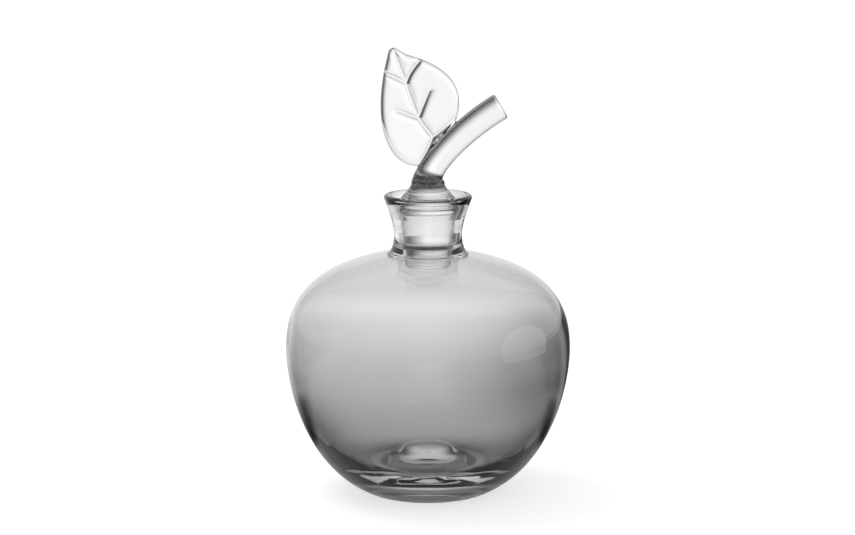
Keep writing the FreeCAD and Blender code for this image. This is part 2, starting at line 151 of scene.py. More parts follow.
class StopperSizes(bpy.types.PropertyGroup):
    joint_gap: length("Joint Gap", "Clearance between plug and bore", 0.25)
    plug_length: length("Plug Length", "Plug below the seat", 22.8)
    plug_taper: length("Plug Taper", "What the plug's radius loses down to its tip", 1.65)
    plug_rounding: length("Plug Rounding", "Lower edge of the plug", 1.5)
    collar_step: length("Collar Step", "Collar beyond the bore", 1.1)
    collar_height: length("Collar Height", "Collar from lower to upper face", 2.3)
    collar_rounding: length("Collar Rounding", "Round edges of the collar", 1.0)
    cone_step: length("Cone Step", "Foot of the cone beyond the bore", 0.3)
    cone_foot_rise: length("Cone Foot Rise", "Cone's foot above the seat", 7.7)
    cone_rounding: length("Cone Rounding", "Edge at the cone's foot", 1.0)
    cone_height: length("Cone Height", "Cone from its foot to the stem", 8.1)
    stem_root: length("Stem Root", "Stem radius at the cone", 6.95)
    stem_waist: length("Stem Waist", "Thinnest radius of the stem", 5.2)
    stem_end: length("Stem End", "Stem radius at its cut end", 5.95)
    stem_upright: length("Stem Upright", "How long the stem stays upright", 5.6)
    stem_reach: length("Stem Reach", "Middle of the cut end from the axis", 31.8)
    stem_rise: length("Stem Rise", "Middle of the cut end above the cone", 32.5)
    stem_end_angle: angle("Stem End Angle", "Rise of the stem at its end", 30.5)
    stem_end_run: length("Stem End Run", "How long it keeps that direction", 20.5)
    stem_end_rounding: length("Stem End Rounding", "Edge of the cut end", 0.9)
    leaf_thickness: length("Leaf Thickness", "Thickness of the leaf", 5.2)
    leaf_rounding: length("Leaf Rounding", "Round margin of the leaf", 1.9)
    leaf_tip_rounding: length("Leaf Tip Rounding", "Rounding of the leaf's point", 2.2)
    leaf_notch_rounding: length("Leaf Notch Rounding", "Dent beside the leaf's point", 3.0)
    vein_width: length("Vein Width", "Half width of a pressed vein", 1.1)
    vein_depth: length("Vein Depth", "Depth of a pressed vein", 1.3)
    pillow: length("Panel Crown", "How far the panels between veins swell", 0.55)
    pillow_width: length("Crown Width", "How far in from its edges a panel swells", 1.9)
    weld: length("Weld", "Soft corner between leaf and stem", 0.8)
    cone_weld: length("Cone Weld", "Soft corner between cone and stem", 1.0)
    collar_weld: length("Collar Weld", "Soft corner beside the collar", 0.3)
    grain: length("Mesh Size", "Spacing of the stopper's mesh", 0.42)


class GlassFinish(bpy.types.PropertyGroup):
    # The bottle's glass tint: clear at the neck, grey lower down and darker towards the bottom.
    neck_tint: colour("Neck Tint", "Glass of the neck", (0.97, 0.97, 0.97))
    shoulder_tint: colour("Shoulder Tint", "Smoke tint at the shoulder", (0.875, 0.875, 0.875))
    foot_tint: colour("Foot Tint", "Smoke tint low down", (0.73, 0.73, 0.73))
    stopper_tint: colour("Stopper Tint", "Glass of the stopper", (0.92, 0.92, 0.92))
    # Painted shade: how dark the stopper's edges turn, and the dark band painted on its cone under
    # the stem.
    outline_shade: factor("Outline Shade", "How dark the stopper's edges are", 0.85)
    cone_shade: factor("Cone Shade", "How dark the thick cone under the stem is", 0.96)
    # Painted highlight on the crests of the kicked-up base and painted shade on its steep side.
    dome_crest_highlight: colour("Dome Crest Highlight", "Crests of the kicked-up base", (0.99, 0.99, 0.99))
    dome_side_shade: colour("Dome Side Shade", "Steep side of that base", (0.28, 0.28, 0.28))
    heel_ripple: FloatProperty(name="Heel Ripple", default=20.0, min=0,
                               description="Unevenness of the thick heel against the wall")
    refraction: FloatProperty(name="Refraction", description="Index of refraction",
                              default=1.5, min=1)
    # Painted shade where the glass is seen turned away: towards the sides, partly the longer path
    # through the tint, and at the heel's edge, just inside the outline and at the outline.
    side_shade: factor("Side Shade", "How the tint deepens towards the sides", 0.2)
    heel_shade: factor("Heel Shade", "How dark the thick heel turns at its edge", 0.9)
    rim_shade: factor("Rim Shade", "How dark the wall is just inside its outline", 0.4)
    edge_shade: factor("Edge Shade", "How dark the glass turns where it is seen edge on", 0.35)
    waviness: factor("Waviness", "Faint unevenness of blown glass", 0.02)


class StudioSettings(bpy.types.PropertyGroup):
    lens: FloatProperty(name="Lens", description="Focal length", default=101.4,
                        unit="CAMERA", min=10)
    camera_side: length("Camera Side", "Camera to the side of the axis", -0.18)
    camera_distance: length("Camera Distance", "Camera in front of the axis", 1039.43)
    camera_height: length("Camera Height", "Camera above the table", 278.51)
    camera_pitch: angle("Camera Pitch", "Tilt below the horizon", 9.798)
    daylight: factor("Daylight", "Plain light from all round", 0.8, 2.0)
    table_white: colour("Table White", "Paint of the table", (0.5, 0.5, 0.5))
    table_glow: factor("Table Glow", "Light that lifts the table to white", 0.63)
    # Painted shadow and shade on the table that only the glass sees: a grey pool round the bottle
    # and the dark flags.
    table_shade: factor("Table Shade", "How grey the glass sees the table beside it", 0.6)
    table_reach: length("Table Reach", "Half the width of the table", 6000.0)
    flag_shade: factor("Flag Shade", "How dark the studio's flags are on the table", 1.0)
    high_flag_shade: factor("High Flag Shade", "How dark they are above the table", 0.22)
    side_power: FloatProperty(name="Side Power", description="Softbox on the right",
                              default=0.6, min=0, unit="POWER")
    top_power: FloatProperty(name="Top Power", description="Softbox overhead",
                             default=6.0, min=0, unit="POWER")


# ---------------------------------------------------------------- shader nodes
class Wire:
    """A shader value; arithmetic on it adds Math nodes."""

    def __init__(self, nodes, socket):
        self.nodes = nodes
        self.socket = socket

    def math(self, operation, *values):
        return self.nodes.new("ShaderNodeMath", {"operation": operation},
                              dict(enumerate(values))).wire()

    def __add__(self, other):
        return self.math("ADD", self, other)

    def __radd__(self, other):
        return self.math("ADD", other, self)

    def __sub__(self, other):
        return self.math("SUBTRACT", self, other)

    def __rsub__(self, other):
        return self.math("SUBTRACT", other, self)

    def __mul__(self, other):
        return self.math("MULTIPLY", self, other)

    def __rmul__(self, other):
        return self.math("MULTIPLY", other, self)

    def __truediv__(self, other):
        return self.math("DIVIDE", self, other)

    def __pow__(self, other):
        return self.math("POWER", self, other)

    def ramp(self, start, end, kind="SMOOTHSTEP"):
        """A smooth step from 0 to 1 as the value goes from start to end."""
        values = {"Value": self, "From Min": start, "From Max": end}
        return self.nodes.new("ShaderNodeMapRange", {"interpolation_type": kind},
                              values).wire("Result")

    def line(self, start, end):
        """A straight rise from 0 to 1 as the value goes from start to end."""
        return self.ramp(start, end, "LINEAR")


class Node:
    """A node in its tree, whose outputs are read as values."""

    def __init__(self, nodes, node):
        self.nodes = nodes
        self.node = node

    def wire(self, output=0):
        return Wire(self.nodes, self.node.outputs[output])


class Nodes:
    """Adds nodes to one tree."""

    def __init__(self, owner):
        owner.use_nodes = True
        self.tree = owner.node_tree
        self.tree.nodes.clear()

    def new(self, kind, settings=None, sockets=None):
        node = self.tree.nodes.new(kind)
        for name, value in (settings or {}).items():
            setattr(node, name, value)
        for name, value in (sockets or {}).items():
            if isinstance(value, Wire):
                self.tree.links.new(value.socket, node.inputs[name])
            else:
                node.inputs[name].default_value = value
        return Node(self, node)

    def mix_colour(self, amount, first, second, blend="MIX"):
        """A colour mix; its sockets are chosen by number, as the names repeat."""
        settings = {"data_type": "RGBA", "blend_type": blend}
        return self.new("ShaderNodeMix", settings, {0: amount, 6: first, 7: second}).wire(2)


def rgba(rgb):
    return (*rgb, 1.0)


def noise(nodes, place, scale, detail=1.0):
    return nodes.new("ShaderNodeTexNoise", {"noise_dimensions": "3D"},
                     {"Vector": place, "Scale": scale, "Detail": detail}).wire()


def glass_surface(nodes, finish, tint, relief, depth):
    """Ends a tree with polished glass of that tint, with a faint relief."""
    bump = nodes.new("ShaderNodeBump", None, {
        "Strength": finish.waviness, "Distance": depth, "Height": relief})
    shader = nodes.new("ShaderNodeBsdfPrincipled", None, {
        "Base Color": tint, "Roughness": 0.0, "IOR": finish.refraction,
        "Transmission Weight": 1.0, "Normal": bump.wire()})
    nodes.new("ShaderNodeOutputMaterial", None, {"Surface": shader.wire()})


def blown_glass(finish):
    """Blown glass with a grey tint, clear at the neck and darker towards the bottom; painted shade
    darkens it where it is seen turned away and on the kicked-up base, whose crests carry a painted
    highlight.
    """
    material = bpy.data.materials.new("grey_blown_glass")
    nodes = Nodes(material)
    place = nodes.new("ShaderNodeTexCoord").wire("Object")
    parts = nodes.new("ShaderNodeSeparateXYZ", None, {0: place})
    x, y, height = parts.wire("X"), parts.wire("Y"), parts.wire("Z")
    across = (x * x + y * y) ** 0.5
    tint = nodes.mix_colour(height.line(*TINT_DEEPENS), rgba(finish.shoulder_tint),
                            rgba(finish.foot_tint))
    tint = nodes.mix_colour(height.ramp(*NECK_CLEARS), tint, rgba(finish.neck_tint))
    # Painted highlight and shade on the kicked-up base: lighter on its crests, dark on its steep
    # side.
    crest = height.ramp(*DOME_CREST)
    crest = crest.math("MAXIMUM", crest, height.ramp(*PUNT_CREST))
    base_highlight_and_shade = nodes.mix_colour(crest, rgba(finish.dome_side_shade), rgba(finish.dome_crest_highlight))
    tint = nodes.mix_colour(across.ramp(*DOME_EDGE) * height.ramp(*DOME_TOP), tint, base_highlight_and_shade)
    # Painted shade where the glass is seen turned away: a little towards the sides, partly the
    # longer path through the tint, and in bands at the heel's edge, just inside the outline and at
    # the outline.
    facing = nodes.new("ShaderNodeLayerWeight", None, {"Blend": 0.5}).wire("Facing")
    heel = height.ramp(*HEEL_DARKENS) * facing.ramp(*HEEL_TURN) * finish.heel_shade
    rim = facing.ramp(*RIM_TURN) * finish.rim_shade
    outline = facing.ramp(*EDGE_TURN) * finish.edge_shade
    light = (1 - facing * finish.side_shade) * (1 - heel) * (1 - rim) * (1 - outline)
    tint = nodes.mix_colour(light, BLACK, tint)
    thick = height.ramp(*HEEL_THICKENS) * across.ramp(*HEEL_REACH) * finish.heel_ripple
    relief = noise(nodes, place, 22.0) + noise(nodes, place, 55.0, 1.5) * thick
    glass_surface(nodes, finish, tint, relief, 2.0 * MM)
    return material


def pressed_glass(finish):
    """Clear pressed glass of the stopper, with painted shade at its edges and on the cone under the
    stem.
    """
    material = bpy.data.materials.new("clear_pressed_glass")
    nodes = Nodes(material)
    place = nodes.new("ShaderNodeTexCoord").wire("Object")
    # Painted shade: the stopper darkens towards its edges and in a band on the cone under the stem.
    facing = nodes.new("ShaderNodeLayerWeight", None, {"Blend": 0.5}).wire("Facing")
    outline = facing.ramp(*STOPPER_TURN) * finish.outline_shade
    height = nodes.new("ShaderNodeSeparateXYZ", None, {0: place}).wire("Z")
    cone = height.ramp(*CONE_BELOW) * height.ramp(*CONE_ABOVE) * finish.cone_shade
    tint = nodes.mix_colour((1 - outline) * (1 - cone), BLACK, rgba(finish.stopper_tint))
    glass_surface(nodes, finish, tint, noise(nodes, place, 60.0), 1.0 * MM)
    return material


# ---------------------------------------------------------------- outlines
def bezier(poles, step):
    """Points of a Bezier curve, about a step apart."""
    poles = np.array(poles, float)
    reach = np.linalg.norm(np.diff(poles, axis=0), axis=1).sum()
    t = np.linspace(0, 1, max(2, math.ceil(reach / step) + 1))[:, None]
    layer = [pole + 0 * t for pole in poles]
    while len(layer) > 1:
        layer = [a + (b - a) * t for a, b in zip(layer, layer[1:])]
    return layer[0]


def trimmed(points, distance):
    """What is left of a run of points when a distance is cut off its start."""
    steps = np.linalg.norm(np.diff(points, axis=0), axis=1)
    along = np.concatenate([[0], np.cumsum(steps)])
    start = [np.interp(distance, along, points[:, i]) for i in range(2)]
    return np.vstack([start, points[along > distance * 1.0001]])


def rounded_join(before, after, radius):
    """Cuts the corner between two runs and returns them with the arc between."""
    corner = after[0]
    back = before[::-1]
    to_back = (back[1] - corner) / np.linalg.norm(back[1] - corner)
    to_next = (after[1] - corner) / np.linalg.norm(after[1] - corner)
    half = math.acos(np.clip(to_back @ to_next, -1, 1)) / 2
    reach = radius / math.tan(half)
    back = trimmed(back, reach)
    after = trimmed(after, reach)
    weight = math.sin(half)
    t = np.linspace(0, 1, 3 + round(12 * math.cos(half)))[1:-1, None]
    arc = (1 - t) ** 2 * back[0] + 2 * weight * t * (1 - t) * corner + t ** 2 * after[0]
    arc = arc / ((1 - t) ** 2 + 2 * weight * t * (1 - t) + t ** 2)
    return back[::-1], arc, after


def joined(lines, roundings):
    """One line of points; each rounding belongs to the start of its line."""
    result = lines[0]
    for line, radius in zip(lines[1:], roundings[1:]):
        if radius:
            result, arc, line = rounded_join(result, line, radius)
            result = np.vstack([result, arc, line])
        else:
            result = np.vstack([result, line[1:]])
    return result


def rim_height(bottle):
    return bottle.neck_root_height + bottle.neck_length


def seat_height(bottle):
    return rim_height(bottle) - bottle.seat_depth


def bottle_outline(s):
    """Half section of the glass, up the inside and down the outside."""
    slope = (math.cos(s.shoulder_angle), math.sin(s.shoulder_angle))
    floor = s.floor_height
    dome_top = floor + s.dome_height
    ring = s.floor_ring
    inner = s.belly_radius - s.side_wall
    bore = s.bore_radius
    waist = (bore + s.neck_wall, s.neck_root_height + s.waist_rise)
    root = (waist[0] + s.neck_root_step, s.neck_root_height)
    rim = (waist[0] + s.rim_step, rim_height(s))
    pole = (root[0] + s.shoulder_fullness * slope[0], root[1] - s.shoulder_fullness * slope[1])
    bore_foot = root[1] - s.shoulder_wall / slope[0] + (root[0] - bore) * slope[1] / slope[0]
    seat = seat_height(s)
    lean = (math.sin(s.seat_angle), math.cos(s.seat_angle))
    seat_end = (bore + s.seat_run * lean[0], seat + s.seat_run * lean[1])
    mouth = (rim[0] - s.rim_wall, rim[1])
    run = (mouth[1] - seat_end[1]) * MOUTH_HANDLE
    lip_rise = s.neck_length - s.waist_rise
    lip_run = lip_rise * LIP_HANDLES[0]
    ball = (s.punt_radius ** 2 + s.punt_depth ** 2) / (2 * s.punt_depth)
    half_cap = math.asin(s.punt_radius / ball)
    cap = [(ball * math.sin(a), s.punt_depth - ball + ball * math.cos(a))
           for a in np.linspace(half_cap, 0, 24)]
    dome = [(ring * share, height) for share, height
            in zip(DOME_HANDLES, (dome_top, dome_top, floor, floor))]
    dip, turn_in, turn_up = WAIST_HANDLES
    # Each run has its handles and the rounding where it starts; the next one's start ends it.
    runs = [
        ([(0, dome_top), *dome], 0),
        ([(ring, floor), (ring + s.floor_fullness, floor),
          (inner, s.belly_height - s.inner_fullness)], 0),
        ([(inner, s.belly_height), (inner, s.belly_height + s.fullness_above),
          (pole[0], pole[1] - s.side_wall / slope[0])], 0),
        ([(bore, bore_foot)], s.bore_rounding),
        ([(bore, seat)], s.seat_rounding),
        ([seat_end, (seat_end[0] + run * lean[0], seat_end[1] + run * lean[1]),
          (mouth[0] - run * math.sin(s.mouth_flare), mouth[1] - run * math.cos(s.mouth_flare))],
         0),
        ([mouth], s.rim_rounding),
        ([rim, (rim[0] - lip_run * math.sin(s.rim_flare), rim[1] - lip_run * math.cos(s.rim_flare)),
          (waist[0], waist[1] + lip_rise * LIP_HANDLES[1])], s.rim_rounding),
        ([waist, (waist[0], waist[1] - s.waist_rise * dip),
          (waist[0] + s.neck_root_step * turn_in, root[1] + s.waist_rise * turn_up)], 0),
        ([root, pole, (s.belly_radius, s.belly_height + s.fullness_above)],
         s.neck_root_rounding),
        ([(s.belly_radius, s.belly_height), (s.belly_radius, s.belly_height - s.fullness_below),
          (s.foot_radius + s.heel_fullness * math.cos(s.heel_angle),
           s.heel_fullness * math.sin(s.heel_angle))], 0),
        ([(s.foot_radius, 0)], s.foot_rounding),
        ([cap[0]], s.foot_rounding),
        ([cap[1]], 0),
    ]
    lines = [bezier(poles + following[0][:1], 1.4 * MM)
             for (poles, _), following in zip(runs, runs[1:])]
    lines[-1] = np.array(cap)
    return joined(lines, [radius for _, radius in runs])


def lathe(name, outline, turns):
    """A closed body turned round the Z axis; the outline starts and ends on it."""
    ring = outline[1:-1]
    turn = np.arange(turns) * 2 * math.pi / turns
    x = ring[:, :1] * np.cos(turn)
    y = ring[:, :1] * np.sin(turn)
    z = np.repeat(ring[:, 1:], turns, 1)
    points = np.stack([x, y, z], 2).reshape(-1, 3)
    points = np.vstack([points, (0, 0, outline[0, 1]), (0, 0, outline[-1, 1])])
    here = np.arange(turns)
    after = (here + 1) % turns
    faces = []
    for row in range(len(ring) - 1):
        a, b = row * turns, (row + 1) * turns
        faces += np.stack([a + here, b + here, b + after, a + after], 1).tolist()
    first, last = len(points) - 2, (len(ring) - 1) * turns
    faces += np.stack([first + 0 * here, here, after], 1).tolist()
    faces += np.stack([first + 1 + 0 * here, last + after, last + here], 1).tolist()
    return new_piece(name, points, faces)


def new_piece(name, points, faces):
    mesh = bpy.data.meshes.new(name)
    mesh.from_pydata(points.tolist(), [], faces)
    mesh.validate()
    mesh.shade_smooth()
    piece = bpy.data.objects.new(name, mesh)
    bpy.context.scene.collection.objects.link(piece)
    return piece


# ---------------------------------------------------------------- solid glass
BATCH = 8000  # points measured at once, which keeps the memory small
MARGIN = 6  # mesh cells left free round the stopper
PROBE = 0.05 * MM  # how far apart the surface's slope is measured
FLATTEST = 0.05  # least squared slope that a vertex is moved by
STEEPEST = 3.0  # steepest side of the plug that its distance allows for
VEIN_SHARPNESS = 1.4
BACK_SWELL = 0.5  # the leaf's back swells this much of its front
ROOT_FADE = 5  # how soon the stem narrows above the cone: the power of its fall
CORNER = 1.6  # a blend this many radii long rounds like one radius


def nearest(points, line):
    """Distance from each point to a line of points, and how far along it, 0 to 1."""
    starts, runs = line[:-1], np.diff(line, axis=0)
    squares = (runs ** 2).sum(1)
    distance, along = np.empty(len(points)), np.empty(len(points))
    for first in range(0, len(points), BATCH):
        part = slice(first, first + BATCH)
        offset = points[part, None] - starts
        t = np.clip((offset * runs).sum(2) / squares, 0, 1)
        gap = np.linalg.norm(offset - runs * t[..., None], axis=2)
        best = gap.argmin(1)
        rows = np.arange(len(best))
        distance[part] = gap[rows, best]
        along[part] = (best + t[rows, best]) / len(runs)
    return distance, along


def enclosed(points, outline):
    """True for the points inside a closed outline."""
    inside = np.zeros(len(points), bool)
    x, z = points.T
    for (x1, z1), (x2, z2) in zip(outline[:-1], outline[1:]):
        if z1 != z2:
            crossing = x1 + (z - z1) * (x2 - x1) / (z2 - z1)
            inside ^= ((z1 > z) != (z2 > z)) & (x < crossing)
    return inside


def blended(a, b, blend):
    """Union of two solids with a soft corner between them."""
    h = np.clip(0.5 + 0.5 * (b - a) / blend, 0, 1)
    return b + (a - b) * h - blend * h * (1 - h)


def carved(a, b, blend):
    """What two solids share, with a soft corner."""
    return -blended(-a, -b, blend)


class StopperSolid:
    """The stopper as a signed distance: negative inside the glass."""

    def __init__(self, s, bottle):
        self.s = s
        bore = bottle.bore_radius
        seat = seat_height(bottle)
        top = bore - s.joint_gap
        self.tip_height = seat - s.plug_length
        foot = (bore + s.cone_step, seat + s.cone_foot_rise)
        self.root = foot[1] + s.cone_height
        step = foot[0] - s.stem_root
        middle = bore + s.collar_step - s.collar_rounding
        low = seat + ((middle - bore) * math.cos(bottle.seat_angle) + s.collar_rounding
                      + s.joint_gap) / math.sin(bottle.seat_angle)
        self.collar = (middle, low, low + s.collar_height - 2 * s.collar_rounding)
        side = [(top - s.plug_taper, self.tip_height), (top, seat), (bore, self.collar[1]), foot]
        side = [bezier(ends, 0.5 * MM) for ends in zip(side[:-1], side[1:])]
        hollow = [(s.stem_root + step * out, foot[1] + s.cone_height * up)
                  for out, up in CONE_HANDLES]
        cone = bezier([foot, *hollow, (s.stem_root, self.root)], 0.3 * MM)
        self.side = joined(side + [cone], [0, 0, 0, s.cone_rounding])
        turn = (math.cos(s.stem_end_angle), math.sin(s.stem_end_angle))
        self.end = (s.stem_reach, self.root + s.stem_rise)
        self.turn = turn
        self.stem = bezier([(0, self.root), (0, self.root + s.stem_upright),
                            (self.end[0] - s.stem_end_run * turn[0],
                             self.end[1] - s.stem_end_run * turn[1]),
                            self.end], 0.4 * MM)
        self.leaf = self.leaf_outline()
        self.veins = self.vein_lines()

    def leaf_outline(self):
        """Outline of the leaf in the XZ plane; its stem side lies inside the stem."""
        s = self.s
        tip, notch = (-16.2, 196.3), (-9.3, 192.3)
        sides = ([notch, (10.9, 187.0), (17.7, 176.4), (11.0, 160.5)],
                 [(0.0, 144.5), (-17.3, 139.6), (-26.5, 162.4), tip],
                 [tip, notch])
        right, left, top = (bezier(np.array(poles) * MM, 0.5 * MM) for poles in sides)
        left, arc, top = rounded_join(left, top, s.leaf_tip_rounding)
        top, small_arc, right = rounded_join(top, right, s.leaf_notch_rounding)
        in_stem = (5 * MM, 152 * MM)
        return np.vstack([right, in_stem, left, arc, top, small_arc, right[:1]])

    def vein_lines(self):
        """Each vein: its line, and its depth at the start and at the end, 0 to 1."""
        tip, a, b, c = (-14.9, 194.2), (-9.4, 179.8), (-4.1, 164.9), (2.2, 156.6)
        midrib = [([tip, (-12.3, 187.5), a], 0.8, 1.0),
                  ([a, (-7.4, 172.8), b], 1.0, 1.0),
                  ([b, (-1.0, 160.2), c], 1.0, 1.0)]
        side_veins = [([a, (-13.0, 182.3), (-19.6, 184.4)], 1.0, 1.0),
                      ([a, (-8.4, 184.5), (-2.2, 191.2)], 1.0, 1.0),
                      ([b, (-8.0, 166.2), (-13.4, 168.3)], 1.0, 0.7),
                      ([b, (-2.2, 170.0), (0.5, 176.6)], 1.0, 0.5),
                      ([c, (0.2, 151.5), (-3.6, 143.6)], 1.0, 0.9),
                      ([c, (6.5, 159.3), (11.5, 164.8)], 0.9, 0.7)]
        return [(bezier(np.array(poles) * MM, 0.6 * MM), start, end)
                for poles, start, end in midrib + side_veins]

    def plan(self, x, z):
        """What depends on x and z alone."""
        s = self.s
        points = np.stack([x.ravel(), z.ravel()], 1)
        axis_distance, along = nearest(points, self.stem)
        swell = along ** 2 * (3 - 2 * along)
        radius = (s.stem_waist + (s.stem_root - s.stem_waist) * (1 - along) ** ROOT_FADE
                  + (s.stem_end - s.stem_waist) * swell)
        past = (points - self.end) @ np.array(self.turn)
        margin, _ = nearest(points, self.leaf)
        margin = np.where(enclosed(points, self.leaf), -margin, margin)
        groove = np.zeros(len(points))
        ridge = np.full(len(points), 1.0)
        for line, start, end in self.veins:
            gap, along_vein = nearest(points, line)
            depth = start + (end - start) * along_vein
            profile = np.exp(-(gap / s.vein_width) ** 2 * VEIN_SHARPNESS)
            groove = np.maximum(groove, depth * profile)
            ridge = np.minimum(ridge, gap)
        ridge = np.minimum(ridge, np.maximum(-margin, 0))
        crown = 1 - np.exp(-(ridge / s.pillow_width) ** 2)
        half = s.leaf_thickness / 2
        front = half - s.pillow * (1 - crown) - s.vein_depth * groove
        back = half - s.pillow * (1 - crown) * BACK_SWELL
        fields = axis_distance, radius, past, margin, front, back
        return [field.reshape(x.shape) for field in fields]

    def plug(self, r, z):
        """Plug, cone and collar from the distance to the axis and the height."""
        s = self.s
        reach = np.interp(z, self.side[:, 1], self.side[:, 0])
        slope = np.interp(z, self.side[:-1, 1],
                          np.diff(self.side[:, 0]) / np.maximum(np.diff(self.side[:, 1]), 1e-7))
        solid = (r - reach) / np.sqrt(1 + np.minimum(slope ** 2, STEEPEST ** 2))
        solid = carved(solid, self.tip_height - z, s.plug_rounding)
        solid = np.maximum(solid, z - self.root)
        middle, low, high = self.collar
        beside = z - np.clip(z, low, high)
        collar = np.hypot(np.maximum(r - middle, 0), beside) - s.collar_rounding
        return blended(solid, collar, s.collar_weld)

    def distance(self, x, y, z, plan):
        """Distance to the glass at points whose x and z gave that plan."""
        s = self.s
        axis_distance, radius, past, margin, front, back = plan
        stem = np.hypot(axis_distance, y) - radius
        stem = carved(stem, past, s.stem_end_rounding * CORNER)
        rim = s.leaf_rounding
        outward = margin + rim
        above = np.maximum(-y - front, y - back) + rim
        leaf = (np.minimum(np.maximum(outward, above), 0)
                + np.hypot(np.maximum(outward, 0), np.maximum(above, 0)) - rim)
        solid = blended(leaf, stem, s.weld)
        plug = self.plug(np.hypot(x, y), z)
        return blended(solid, plug, s.cone_weld)

    def at(self, points):
        x, y, z = points.T
        return self.distance(x, y, z, self.plan(x, z))

    def slope(self, points, reach):
        """Gradient of the distance, from the corners of a small tetrahedron."""
        result = np.zeros_like(points)
        for corner in ((1, 1, 1), (1, -1, -1), (-1, 1, -1), (-1, -1, 1)):
            corner = np.array(corner)
            result += corner * self.at(points + corner * reach)[:, None]
        return result / (4 * reach)


def skin(values):
    """Surface nets: a vertex in each cell that the surface crosses, in grid units, and
    a face round each grid edge that it crosses."""
    cells = tuple(n - 1 for n in values.shape)
    total = np.zeros((int(np.prod(cells)), 3))
    count = np.zeros(int(np.prod(cells)))
    faces = []
    for axis in range(3):
        low = [slice(None)] * 3
        high = [slice(None)] * 3
        low[axis], high[axis] = slice(None, -1), slice(1, None)
        a, b = values[tuple(low)], values[tuple(high)]
        where = np.argwhere((a < 0) != (b < 0))
        start, end = a[tuple(where.T)], b[tuple(where.T)]
        place = where.astype(float)
        place[:, axis] += start / (start - end)
        u, v = [i for i in range(3) if i != axis]
        ring = []
        for du, dv in ((0, 0), (-1, 0), (-1, -1), (0, -1)):
            cell = where.copy()
            cell[:, u] += du
            cell[:, v] += dv
            flat = np.ravel_multi_index(cell.T, cells)
            for i in range(3):
                total[:, i] += np.bincount(flat, place[:, i], len(total))
            count += np.bincount(flat, minlength=len(count))
            ring.append(flat)
        ring = np.stack(ring, 1)
        turned = (start >= 0) ^ (axis == 1)
        ring[turned] = ring[turned][:, ::-1]
        faces.append(ring)
    used = np.flatnonzero(count)
    number = np.zeros(len(count), int)
    number[used] = np.arange(len(used))
    return total[used] / count[used][:, None], number[np.vstack(faces)]


def stopper_mesh(name, solid, low, high, step):
    """Skins the solid and settles every vertex on its surface."""
    axes = [np.arange(a - MARGIN * step, b + MARGIN * step, step)
            for a, b in zip(low, high)]
    x, z = np.meshgrid(axes[0], axes[2], indexing="ij")
    plan = [field[:, None, :] for field in solid.plan(x, z)]
    values = solid.distance(x[:, None, :], axes[1][None, :, None], z[:, None, :], plan)
    points, faces = skin(values)
    points = points * step + [axis[0] for axis in axes]
    slope = solid.slope(points, PROBE)
    size = np.maximum((slope ** 2).sum(1), FLATTEST)
    move = slope * (solid.at(points) / size)[:, None]
    points = points - np.clip(move, -step / 2, step / 2)
    normals = slope / np.linalg.norm(slope, axis=1)[:, None]
    piece = new_piece(name, points, faces.tolist())
    piece.data.normals_split_custom_set_from_vertices(normals.tolist())
    return piece


# ---------------------------------------------------------------- operators
def finish_piece(piece, material, node):
    piece.data.materials.append(material)
    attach(piece, "root")
    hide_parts(node)


class MESH_OT_blown_bottle(bpy.types.Operator):
    """Turn the blown bottle, with its kicked-up base and flared neck"""
    bl_idname = "mesh.blown_bottle"
    bl_label = "Blown Bottle"

    def execute(self, context):
        sizes = context.scene.bottle_sizes
        piece = lathe("blown_bottle", bottle_outline(sizes), sizes.turns)
        finish_piece(piece, blown_glass(context.scene.glass_finish), "decanter")
        return {"FINISHED"}


class MESH_OT_leaf_stopper(bpy.types.Operator):
    """Press the solid stopper: plug, collar, cone, stem and leaf"""
    bl_idname = "mesh.leaf_stopper"
    bl_label = "Leaf Stopper"

    def execute(self, context):
        scene = context.scene
        low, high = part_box("stopper")
        solid = StopperSolid(scene.stopper_sizes, scene.bottle_sizes)
        piece = stopper_mesh("leaf_stopper", solid, low, high, scene.stopper_sizes.grain)
        finish_piece(piece, pressed_glass(scene.glass_finish), "stopper")
        return {"FINISHED"}


# Black flags round the table, out of sight, given as dark sky in the world and as painted shade on
# the table that only the glass sees: how dark the studio is at each bearing from straight behind,
# in degrees. The light gaps are where other sides look.
FLAGS = ((-180, 0.0), (-170, 0.15), (-150, 0.6), (-135, 0.25), (-115, 0.6), (-92, 0.15),
         (-72, 0.8), (-48, 0.4), (-30, 0.0), (2, 0.0), (11, 0.36), (20, 0.78), (29, 0.96),
         (36, 0.96), (45, 0.45), (56, 0.96), (78, 0.96), (90, 0.3), (112, 0.8),
         (135, 0.25), (155, 0.6), (172, 0.05))
# Painted shade on the table close by on either side, seen only by the glass, which the heel
# mirrors.
TABLE_SIDES = ((-180, 0.0), (-84, 0.0), (-74, 0.95), (-56, 0.95), (-42, 0.0), (42, 0.0),
               (56, 0.95), (74, 0.95), (84, 0.0))
# How high the flags reach, as the steepness of the look up, and where on the table each
# shade lies, as the distance from the axis.
FLAG_TOP = (0.75, 0.30)
FLAG_STARTS = (40 * MM, 220 * MM)
SIDE_STARTS = (62 * MM, 85 * MM)
SIDE_ENDS = (200 * MM, 130 * MM)
TABLE_SHADE_ENDS = (560 * MM, 0.0)


def shaded(nodes, x, y, shades):
    """How dark the shades are in the direction x, y."""
    turn = x.math("ARCTAN2", x, y) / (2 * math.pi) + 0.5
    ramp = nodes.new("ShaderNodeValToRGB", None, {"Fac": turn})
    stops = ramp.node.color_ramp.elements
    for bearing, depth in shades[1:-1]:
        stops.new(bearing / 360 + 0.5)
    for stop, (bearing, depth) in zip(stops, shades):
        stop.position = bearing / 360 + 0.5
        stop.color = (depth, depth, depth, 1)
    ramp.node.color_ramp.interpolation = "B_SPLINE"
    return ramp.wire()


